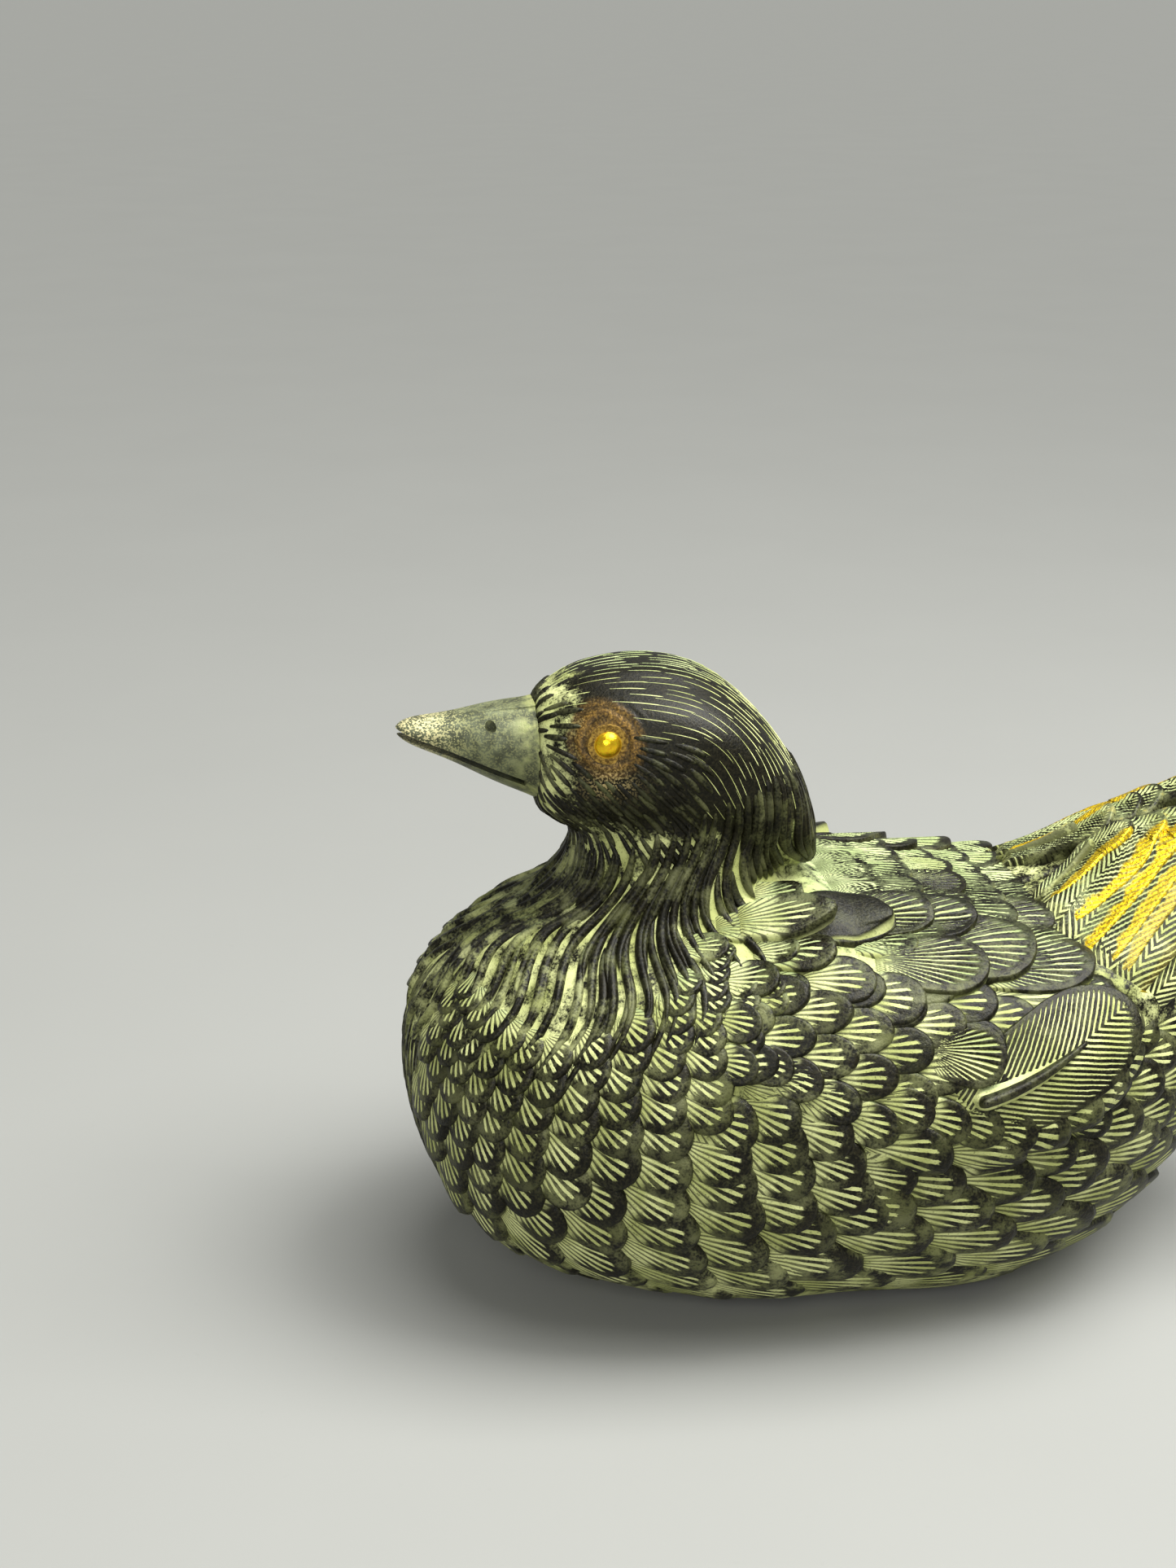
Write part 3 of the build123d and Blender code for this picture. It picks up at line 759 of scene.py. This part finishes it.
def body_scales():
    paths, widths = [], []
    row = 0
    for low, high, count, pace in BANDS:
        for t in np.arange(low, high - 1e-6, pace):
            around = 2 * math.pi / count
            s = (np.arange(count) + 0.5 * (row % 2) + 0.25) * around
            s = s + rng.uniform(-0.10, 0.10, count) * around
            lag = t + rng.uniform(-0.12, 0.12, count) * pace
            paths.append(np.stack([chart_point(lag - k * pace, s) for k in REACH], 1))
            left, right = (chart_point(lag, s + end * around / 2) for end in (1, -1))
            widths.append(np.linalg.norm(left - right, axis=-1))
            row += 1
    path, across = np.concatenate(paths), np.concatenate(widths)
    sound = np.isfinite(path).all((1, 2)) & np.isfinite(across)
    path, across = path[sound], across[sound]
    tip = path[:, -1]
    front = (np.abs(tip[:, 1]) < BREAST_STRIP) & (tip[:, 0] < BREAST_BACK)
    wing = within(WING_MIDDLE + (WING - WING_MIDDLE) * 0.84, tip[:, 0], tip[:, 2])
    back = np.interp(tip[:, 0], MANTLE[:, 0], MANTLE[:, 1])
    mantle = wing | (tip[:, 2] > back) & (tip[:, 0] > MANTLE[0, 0]) & (tip[:, 0] < MANTLE[-1, 0])
    keep = ~above_seam(tip, -0.3) & (tip[:, 2] > LIP) & ~front & ~mantle & (tip[:, 0] < STERN)
    keep &= (np.linalg.norm(path[:, -1] - path[:, 0], axis=-1) < LONGEST) & (across < WIDEST)
    return path[keep], across[keep], tip[keep]


scale_path, scale_across, scale_tip = body_scales()
length = np.linalg.norm(scale_path[:, -1] - scale_path[:, 0], axis=-1)
low_down = step(17, 6, scale_tip[:, 2])
shell = Sheet("body_scales")
hollow = near(scale_tip, (-14, 15, 54), (8, 7, 6))  # between the neck and the wing
lay(shell, body, scale_path, half=np.minimum(scale_across * 0.56, 4.2),
    rise=(0.50 + 0.075 * length) * (1 - 0.70 * low_down), dome=0.50 * (1 - 0.75 * low_down),
    straight=1.45, taper=0.3, rows=10, cols=12, bevel=0.20,
    patina=0.04 + 0.50 * low_down + 0.75 * hollow + rng.uniform(0, 0.14, len(scale_tip)),
    barbs=np.clip(18 + 3.4 * scale_across, 28, 42))


PLAIN = dict(comb=0.0, barbs=0.0)  # for strokes and shafts, which have no barbs


def brush(sheet, zone, way, across, along, tries, length, steps, half, **look):
    """Covers a zone of the body with strokes. length and half are the ranges of their sizes."""
    seed = scatter(body, zone, across, along, way, tries)
    path = trace(body, seed, way, rng.uniform(*length, len(seed)), steps, back=0.5)
    lay(sheet, body, path, half=rng.uniform(*half, len(seed)), **look, **PLAIN)


def down_the_breast(p, normal):
    return p - NECK_POLE + np.array([0.0, 0.0, -30.0])


def breast_zone(p):
    middle = (np.abs(p[:, 1]) < BREAST_STRIP + 1.5) & (p[:, 0] < -42)
    return (middle & ~above_seam(p) & (p[:, 2] > 3)).astype(float)


brush(shell, breast_zone, down_the_breast, across=0.95, along=5.0, tries=1500, length=(7, 12), steps=7,
      half=(0.36, 0.52), rise=0.05, base=0.08, dome=0.16, straight=1.2, taper=0.9, rows=12, cols=4,
      bevel=0.6, patina=0.25)
shell.piece(feathered, "patinated_bronze")


# -------- locks of the neck

SOURCE = np.array([-21.0, 0.0, 96.0])  # where the locks would meet, over the head
WAVE, WAVELENGTH = 0.42, 21.0  # of the locks, in radians and mm
# The highest place of a lock under the head: x, z.
CHIN = np.array([(-40, 64.5), (-32, 66.5), (-22, 72.0), (-12, 76.0)])


def down_the_neck(p, normal):
    """Locks run from the head down the neck and fan out on the breast, in slow waves."""
    d = p - SOURCE
    flat = tangent(d, normal)
    side = np.cross(normal, flat)
    bearing = np.arctan2(p[..., 1], -(p[..., 0] + 24))
    run = np.linalg.norm(d, axis=-1)
    wave = WAVE * np.sin(2 * math.pi * run / WAVELENGTH + 2.2 * np.abs(bearing)) * np.sign(p[..., 1])
    wave = wave * step(28, 34, run)
    return flat * np.cos(wave)[..., None] + side * np.sin(wave)[..., None]


def neck_zone(p):
    under = np.where(p[:, 0] > -20, 73.0, 69.0)  # higher at the nape
    return (above_seam(p, -0.6) & (p[:, 2] < under) & (p[:, 0] < -1)).astype(float)


def lock_gap(p):
    return np.clip(1.22 + 0.016 * (70 - p[:, 2]), 1.22, 1.7)


def below_the_head(p):
    return (p[:, 2] < np.interp(p[:, 0], CHIN[:, 0], CHIN[:, 1])) & ~((p[:, 0] > -14) & (p[:, 2] < 59))


seed = scatter(body, neck_zone, across=lock_gap, along=9.0, way=down_the_neck, tries=5200)
lock_path = trace(body, seed, down_the_neck, rng.uniform(17, 27, len(seed)), 13, back=0.5)
lock_path = trimmed(lock_path, below_the_head, 14)
n = len(lock_path)
locks = Sheet("neck_locks")
lay(locks, body, lock_path, half=rng.uniform(0.66, 0.86, n), rise=rng.uniform(0.05, 0.3, n), base=0.30,
    dome=0.55, straight=1.2, taper=0.85, rows=22, cols=6, bevel=0.66, sink=0.35,
    patina=rng.uniform(0.03, 0.16, n) + 0.42 * step(-35, -45, lock_path[:, 7, 0]), **PLAIN)
locks.piece(feathered, "dark_bronze")


# -------- mirrored pairs

def mirrored(sheet, name):
    """The right-hand copy of a left-hand sheet of feathers."""
    other = Sheet(name)
    other.points = [p * OTHER_SIDE for p in sheet.points]
    other.faces = [f[:, ::-1] for f in sheet.faces]
    other.leaf, other.bake, other.finish, other.barbs = sheet.leaf, sheet.bake, sheet.finish, sheet.barbs
    other.count, other.cells = sheet.count, sheet.cells
    return other


# -------- wings

AXIS_Z = 30.0  # level of the axis that bearings are seen along


def outward(x, bearing):
    """Places on the axis at x, and directions from it at a bearing above the horizon."""
    angle = np.radians(bearing)
    start = np.stack([x, np.zeros_like(x), np.full_like(x, AXIS_Z)], -1)
    return start, np.stack([np.zeros_like(x), -np.cos(angle), np.sin(angle)], -1)


def wing_paths(rows):
    """Each row is root x, root bearing, tip x, tip bearing and sideways bow in degrees."""
    rows = np.array([r[:5] for r in rows], float)
    v = np.linspace(0, 1, 9)
    x = rows[:, 0:1] + (rows[:, 2:3] - rows[:, 0:1]) * v
    b = rows[:, 1:2] + (rows[:, 3:4] - rows[:, 1:2]) * v + rows[:, 4:5] * 4 * v * (1 - v)
    return body.cast(*outward(x, b))


# Rows of feathers: root x, root bearing, tip x, tip bearing, bow, half width.
COVERTS = [
    (-25, 27, -18.5, 23, 0, 2.6), (-21, 27, -14.0, 22, 0, 2.7), (-18, 24, -10.4, 18.5, 0, 2.9),
    (-14, 19, -6.0, 13, 0, 2.9), (-9, 13, -1.2, 8, 0, 3.0), (-5, 15, 3.4, 11, 0, 3.1),
    (0, 12, 8.2, 7.5, 0, 3.1), (4, 11, 12.6, 5.6, 0, 3.1), (8, 9, 17.2, 4.0, 0, 3.1),
    (-24, 36, -17.5, 32, 0, 2.8), (-22, 45, -14.0, 43, 0, 3.0), (-16, 52, -6.2, 48, 0, 3.5),
    (-12, 43, -2.0, 40, 0, 3.6), (-6, 38, 4.0, 35, 0, 3.9),
]
LATTICE = [(tip - 10.5, bearing + 1.5, tip, bearing, 0, 2.9 + 0.02 * (tip + 16)) for tip, bearing in
           ((-15.5 + 4.9 * k, 15.0 + 9.5 * j + 4.75 * (k % 2)) for k in range(9) for j in range(4))
           if within(WING, tip - 1.5, AXIS_Z + 31 * math.tan(math.radians(bearing)) * 0.86)]
SHINGLES = [(tip - 14.0, bearing + 1.0, tip, bearing + shift, 0, 4.6)
            for tip, shift in ((3.5, 6), (10.0, 0), (16.0, 6), (22.0, 0), (28.0, 5))
            for bearing in (88.0, 77.0, 66.0, 55.0, 46.0)
            if bearing + shift < 92 and not (tip < 9 and bearing > 60) and not (tip < 26 and bearing < 50)]
SCAPULARS = [  # and the lift of the tip
    (6, 80, 16.6, 85, 0, 4.6, 0.7), (11, 64, 26.8, 65, 0, 5.6, 0.9), (5, 47, 21.6, 49, 2, 6.6, 1.0),
    (1, 60, 15.0, 61, 0, 5.4, 0.9), (-2, 47, 13.6, 42, 0, 5.0, 0.9), (-4, 61, 8.8, 62, 0, 4.8, 0.7),
    (3, 25, 13.0, 21, 0, 4.2, 0.9), (12, 44, 28.5, 43, 0, 5.2, 0.9),
]
HOLLOW = [(-26, 55, -19.5, 53, 0, 2.4), (-21, 60, -14.0, 59, 0, 2.5), (-15, 69, -8.0, 68, 0, 2.8),
          (-4, 53, 5.5, 51.0, 0, 3.6), (-17, 52, -10.5, 50, 0, 2.5)]
DOME, DOME_COVER = (-11, 60, 3.0, 58.5, 0, 4.9), (-19, 61, -5.5, 59, 0, 3.6)
TERTIAL, SHAFT = (5, 9.5, 31.4, 31.0, -2.0, 7.2), (26.0, 25.0, 8.5, 13.0, -2.0)


def left_wing_feathers():
    wing = Sheet("left_wing_feathers")

    def overlap(group, **look):
        lay(wing, body, wing_paths(group), half=np.array(group)[:, 5], **look)

    small = dict(rise=1.0, dome=0.4, straight=1.4, taper=0.35, rows=14, cols=20, bevel=0.15, barbs=38.0,
                 carve=0.12)
    overlap(LATTICE, base=0.15, patina=rng.uniform(0.0, 0.2, len(LATTICE)), **small)
    overlap(COVERTS, rise=1.15, base=0.35, dome=0.3, straight=1.3, taper=0.35, rows=16, cols=24, bevel=0.14,
            patina=0.08, barbs=40.0, carve=0.14)
    overlap(SCAPULARS, rise=np.array(SCAPULARS)[:, 6] + 0.9, base=0.55, dome=0.55, straight=1.5, taper=0.4,
            rows=40, cols=84, bevel=0.12, patina=0.03, barbs=70.0, carve=0.24)
    place = np.array(SHINGLES)
    overlap(SHINGLES, rise=1.1, base=0.45 + 0.7 * step(16, 28, place[:, 2]), dome=0.35, straight=1.6,
            taper=0.4, rows=22, cols=36, bevel=0.13, patina=0.08 + 0.20 * step(60, 85, place[:, 3]),
            barbs=62.0, carve=0.16)
    overlap(HOLLOW, base=0.25, patina=0.30, **small)
    overlap([DOME], rise=0.7, base=0.8, dome=2.6, straight=0.9, taper=0.35, rows=24, cols=24, bevel=0.22,
            patina=0.0, comb=0.0)
    overlap([DOME_COVER], rise=2.6, base=0.8, dome=0.8, straight=1.4, taper=0.4, rows=24, cols=24,
            bevel=0.12, patina=0.10, carve=0.14)
    overlap([TERTIAL], rise=1.4, base=0.8, dome=0.5, straight=1.7, taper=0.45, rows=110, cols=110,
            bevel=0.07, patina=0.0, barbs=-60.0, carve=0.20)
    shaft = wing_paths([SHAFT])
    lay(wing, body, shaft, half=1.5, rise=0.2, base=1.6, dome=0.3, straight=9.0, taper=0.9, rows=40, cols=8,
        bevel=0.5, sink=-0.9, patina=1.0, **PLAIN)
    lay(wing, body, shaft, half=0.9, rise=0.3, base=2.2, dome=0.9, straight=14.0, taper=0.9, rows=40, cols=8,
        bevel=0.6, sink=-1.4, patina=0.0, **PLAIN)
    return wing


left_wing = left_wing_feathers()
right_wing = mirrored(left_wing, "right_wing_feathers")
left_wing.piece(feathered, "patinated_bronze", "left_wing")
right_wing.piece(feathered, "patinated_bronze", "right_wing")


# -------- gilded fans

def node_skin(name):
    """A smooth skin over one CAD node."""
    return skin([name], None, voxel=0.5, rounds=24)


fan_points, fan_faces = node_skin("left_primaries")
fan_points = dressed(fan_points, FAN_DROP)
OUTSIDE = 90.0  # mm from the bird's axis, clear of the fans
# The lower edge of each blade: root, middle and end as x and bearing. Then half width, gilding, patina.
BLADES = [
    (26.5, 66.0, 34.6, 75.5, 43.0, 86.0, 2.7, 1.0, 0.42),
    (26.8, 54.0, 37.3, 67.0, 48.2, 86.0, 3.6, 1.0, 0.40),
    (28.3, 43.5, 38.5, 62.0, 51.5, 86.0, 4.0, 1.0, 0.36),
    (30.0, 36.5, 39.5, 57.0, 54.8, 84.0, 3.8, 0.8, 0.28),
    (31.0, 31.5, 42.0, 57.0, 55.8, 80.0, 3.6, 0.45, 0.22),
    (32.8, 26.5, 44.0, 52.0, 56.8, 75.0, 3.6, 0.1, 0.20),
    (35.0, 24.0, 46.0, 43.5, 57.0, 66.0, 3.4, 0.0, 0.20),
]


def left_fan_feathers():
    """Blades that curve up from the wing, each over the one below it."""
    plate = Surface(np.concatenate([fan_points, fan_points * OTHER_SIDE]),
                    np.concatenate([fan_faces, fan_faces[:, ::-1] + len(fan_points)]))
    fan = Sheet("left_fan_feathers")
    row = np.array(BLADES)
    v = np.linspace(0, 1, 19)
    share = ((2 * v - 1) * (v - 1), 4 * v * (1 - v), v * (2 * v - 1))  # a parabola through three points
    x, bearing = (sum(row[:, k + axis, None] * w for k, w in zip((0, 2, 4), share)) for axis in (0, 1))
    start, way = outward(x, bearing)
    paths = []
    for found, half in zip(plate.cast(start + OUTSIDE * way, -way), row[:, 6]):
        edge = evened(found, 19)[None]
        _, normal = plate.settle(edge)
        middle, _ = plate.settle(edge + unit(np.cross(normal, np.gradient(edge, axis=1))) * half * 0.94)
        middle[..., 1] = np.minimum(middle[..., 1], -half - 0.4)
        paths.append(plate.settle(middle)[0][0])
    paths = np.array(paths)
    order = np.linspace(1, 0, len(row))
    lay(fan, plate, paths, half=row[:, 6], rise=0.4 + 2.2 * order, base=0.35 + 0.6 * order, dome=0.2,
        straight=3.6, taper=0.30, rows=120, cols=24, bevel=0.10, sink=0.2, patina=row[:, 8], gilt=row[:, 7],
        barbs=-30.0, carve=0.20)
    lay(fan, plate, paths[:1, :13], half=0.5, rise=2.75, base=1.15, dome=0.25, straight=9.0, taper=0.5,
        rows=30, cols=6, bevel=0.6, sink=-0.8, patina=0.9, **PLAIN)
    return fan


left_fan = left_fan_feathers()
right_fan = mirrored(left_fan, "right_fan_feathers")
left_fan.piece(feathered, "gilt_bronze")
right_fan.piece(feathered, "gilt_bronze")
fan_cast = cast_material("fan_bronze", 0.60)
for side, points, faces in (("left", fan_points, fan_faces),
                            ("right", fan_points * OTHER_SIDE, fan_faces[:, ::-1])):
    name = side + "_fan_plate"
    show(name, new_mesh(name, points, faces), fan_cast, "gilt_bronze", side + "_primaries")


# -------- tail

TAIL_PIVOT_X, TAIL_SPREAD, TAIL_FEATHERS = 41.0, 62.0, 7


def tail_feathers():
    plate = Surface(*node_skin("tail_fan"))
    tail = Sheet("tail_feathers")
    angle = np.radians(np.linspace(-TAIL_SPREAD / 2, TAIL_SPREAD / 2, TAIL_FEATHERS))[:, None]
    reach = np.linspace(9.0, 33.2, 12)
    x, y = TAIL_PIVOT_X + reach * np.cos(angle), reach * np.sin(angle)
    hit = plate.cast(np.stack([x, y, np.full_like(x, 80.0)], -1), [0.0, 0.0, -1.0])
    paths = np.array([evened(found, 12) for found in hit])
    lay(tail, plate, paths, half=3.6, rise=0.25, base=0.15, dome=0.25, straight=2.6, taper=0.4, rows=50,
        cols=18, sink=0.15, patina=0.15, barbs=-34.0, carve=0.12)
    lay(tail, plate, paths[:, :11], half=0.45, rise=0.1, base=0.6, dome=0.25, straight=9.0, taper=0.3,
        rows=24, cols=6, bevel=0.6, sink=-0.3, patina=0.9, **PLAIN)
    return tail


tail_feathers().piece(feathered, "dark_bronze")


# -------- head

BILL_ROOT = np.array([-52.0, 0.0, 77.5])


def over_the_head(p, normal):
    """Strokes run back from the bill over the crown, and down at the nape."""
    down = 1.3 * step(-26, -12, p[..., 0:1]) + 0.18 + 0.75 * step(81, 74, p[..., 2:3])
    return unit(p - BILL_ROOT) + np.array([0.0, 0.0, -1.0]) * down


def face_zone(p):
    face = (p[:, 2] > 64.0) & (p[:, 2] < 84) & (p[:, 0] < -22) & (p[:, 0] > -43) & above_seam(p)
    return (face & (eye_gap(p) > 5.0) & (p[:, 2] < 80 - 0.35 * (p[:, 0] + 34) + 3)).astype(float)


def cap_zone(p):
    cap = (p[:, 2] > 70) & (p[:, 0] > -41) & above_seam(p, 6)
    return (cap & (eye_gap(p) > 5.5) & (face_zone(p) < 0.5)).astype(float)


head = Sheet("head_strokes")
brush(head, face_zone, over_the_head, across=0.95, along=3.0, tries=2600, length=(4.2, 6.6), steps=6,
      half=(0.42, 0.55), rise=0.12, base=0.10, dome=0.22, straight=1.4, taper=0.9, rows=8, cols=6,
      bevel=0.6, sink=0.3, patina=0.05)
brush(head, cap_zone, over_the_head, across=0.85, along=4.6, tries=2200, length=(4.0, 8.5), steps=7,
      half=(0.10, 0.19), rise=0.02, base=0.03, dome=0.02, straight=2.5, taper=1.0, rows=8, cols=2,
      bevel=0.5, sink=0.1, patina=1.0)
head.piece(feathered, "dark_bronze")


# -------- the plain skin, by region

def skin_finish(p):
    """Patina, the ochre round the eye, the cool tone of the back and the sand under the eye."""
    hollow = near(p, (-13, 14, 54), (9, 7, 6))
    cap = step(66, 72, p[:, 2]) * step(-44, -30, p[:, 0])
    face = step(66, 70, p[:, 2]) * (1 - cap)
    patina = 0.62 + 0.38 * hollow - 0.50 * cap + 0.1 * face
    cool = 0.5 * step(50, 58, p[:, 2]) * step(-12, 0, p[:, 0])
    sand = near(p, (-34, 0, 75), (3.0, math.inf, 1.8))
    return np.stack([patina, step(6.5, 5.0, eye_gap(p)), cool, sand], -1)


def split_skin(name, keep, *stands_for):
    """Shows the faces of the body's skin whose middles pass keep(p)."""
    inside = keep(body.points[body.faces].mean(1))
    faces = body.faces[inside]
    used = np.unique(faces)
    index = np.zeros(len(body.points), int)
    index[used] = np.arange(len(used))
    mesh = new_mesh(name, body.points[used], index[faces])
    attribute(mesh, "finish", "FLOAT_COLOR", skin_finish(body.points[used]))
    show(name, mesh, plain, "patinated_bronze", *stands_for)


split_skin("body_skin", lambda p: ~above_seam(p) & (p[:, 2] > 0.05), "body_shell", "left_wing", "right_wing")
split_skin("neck_and_head", above_seam, "head_neck")


# -------- CAD pieces that stay

bill_cast = bill_material("bill_bronze")
eye_cast = eye_material("gilt_eye")
plate_cast = cast_material("plate_bronze", 0.4, cool=0.3)
brass = cast_material("turned_brass", 0.05, gold=0.5)
for name, material in (("bill", bill_cast), ("left_eye", eye_cast), ("right_eye", eye_cast),
                       ("tail_fan", fan_cast), ("base_plate", plate_cast), ("base_screws", brass),
                       ("hold_pins", brass), ("neck_pin", brass), ("tail_pin", brass)):
    mesh = nodes[name].data
    mesh.materials.clear()
    mesh.materials.append(material)


# -------- stage, light and camera

paper = Graph("pale_paper")
mottle = paper.noise(60.0, 4.0)
fleck = paper.ramp(paper.noise(2.0, 2.0), 0.70, 0.76, 0.0, 0.10)
paper.done(paper.mix(paper.add(paper.mul(mottle, 0.3), fleck), PAPER_PALE, PAPER_DARK), 0.75, 0.0)
FAR, FLOOR_Z = 60000.0, -0.05  # the floor runs past the horizon, just under the base
corners = np.array([(x * FAR, y * FAR, FLOOR_Z) for x, y in ((-1, -1), (1, -1), (1, 1), (-1, 1))])
mesh = new_mesh("floor", corners, np.array([[0, 1, 2, 3]]), smooth=False)
mesh.materials.append(paper.material)
linked("floor", mesh)

TARGET, YAW, PITCH, AWAY = (-34.7, 0.0, 71.1), math.radians(10.0), math.radians(20.0), 294.0
back = np.array([-math.sin(YAW) * math.cos(PITCH), -math.cos(YAW) * math.cos(PITCH), math.sin(PITCH)])
lens = bpy.data.cameras.new("camera")
camera = linked("camera", lens)
camera.location = metres(np.array(TARGET) + back * AWAY)
camera.rotation_euler = facing(-back)
lens.sensor_width, lens.lens = 36.0, 51.4
lens.clip_start, lens.clip_end = 0.01, 120
bpy.context.scene.camera = camera

LIT = (0, 0, 30)  # the place that the lamps face
for name, place, size, power in (("window", (190, -60, 430), (260, 220), 2.6),
                                 ("front", (-160, -420, 260), (240, 180), 1.0)):
    light = bpy.data.lights.new(name, "AREA")
    light.shape, light.energy = "RECTANGLE", power
    light.size, light.size_y = size[0] * MM, size[1] * MM
    lamp = linked(name, light)
    lamp.location = metres(place)
    lamp.rotation_euler = facing(metres(LIT) - metres(place))
sun = bpy.data.lights.new("sky", "SUN")
sun.energy, sun.angle = 3.6, math.radians(55)
linked("sky", sun).rotation_euler = facing((-0.30, 0.16, -1.0))
world = bpy.data.worlds.new("room")
bpy.context.scene.world = world
world.use_nodes = True
air = world.node_tree.nodes["Background"].inputs
air["Color"].default_value, air["Strength"].default_value = (0.86, 0.88, 0.86, 1), 0.38
bpy.context.scene.view_settings.view_transform = "Standard"
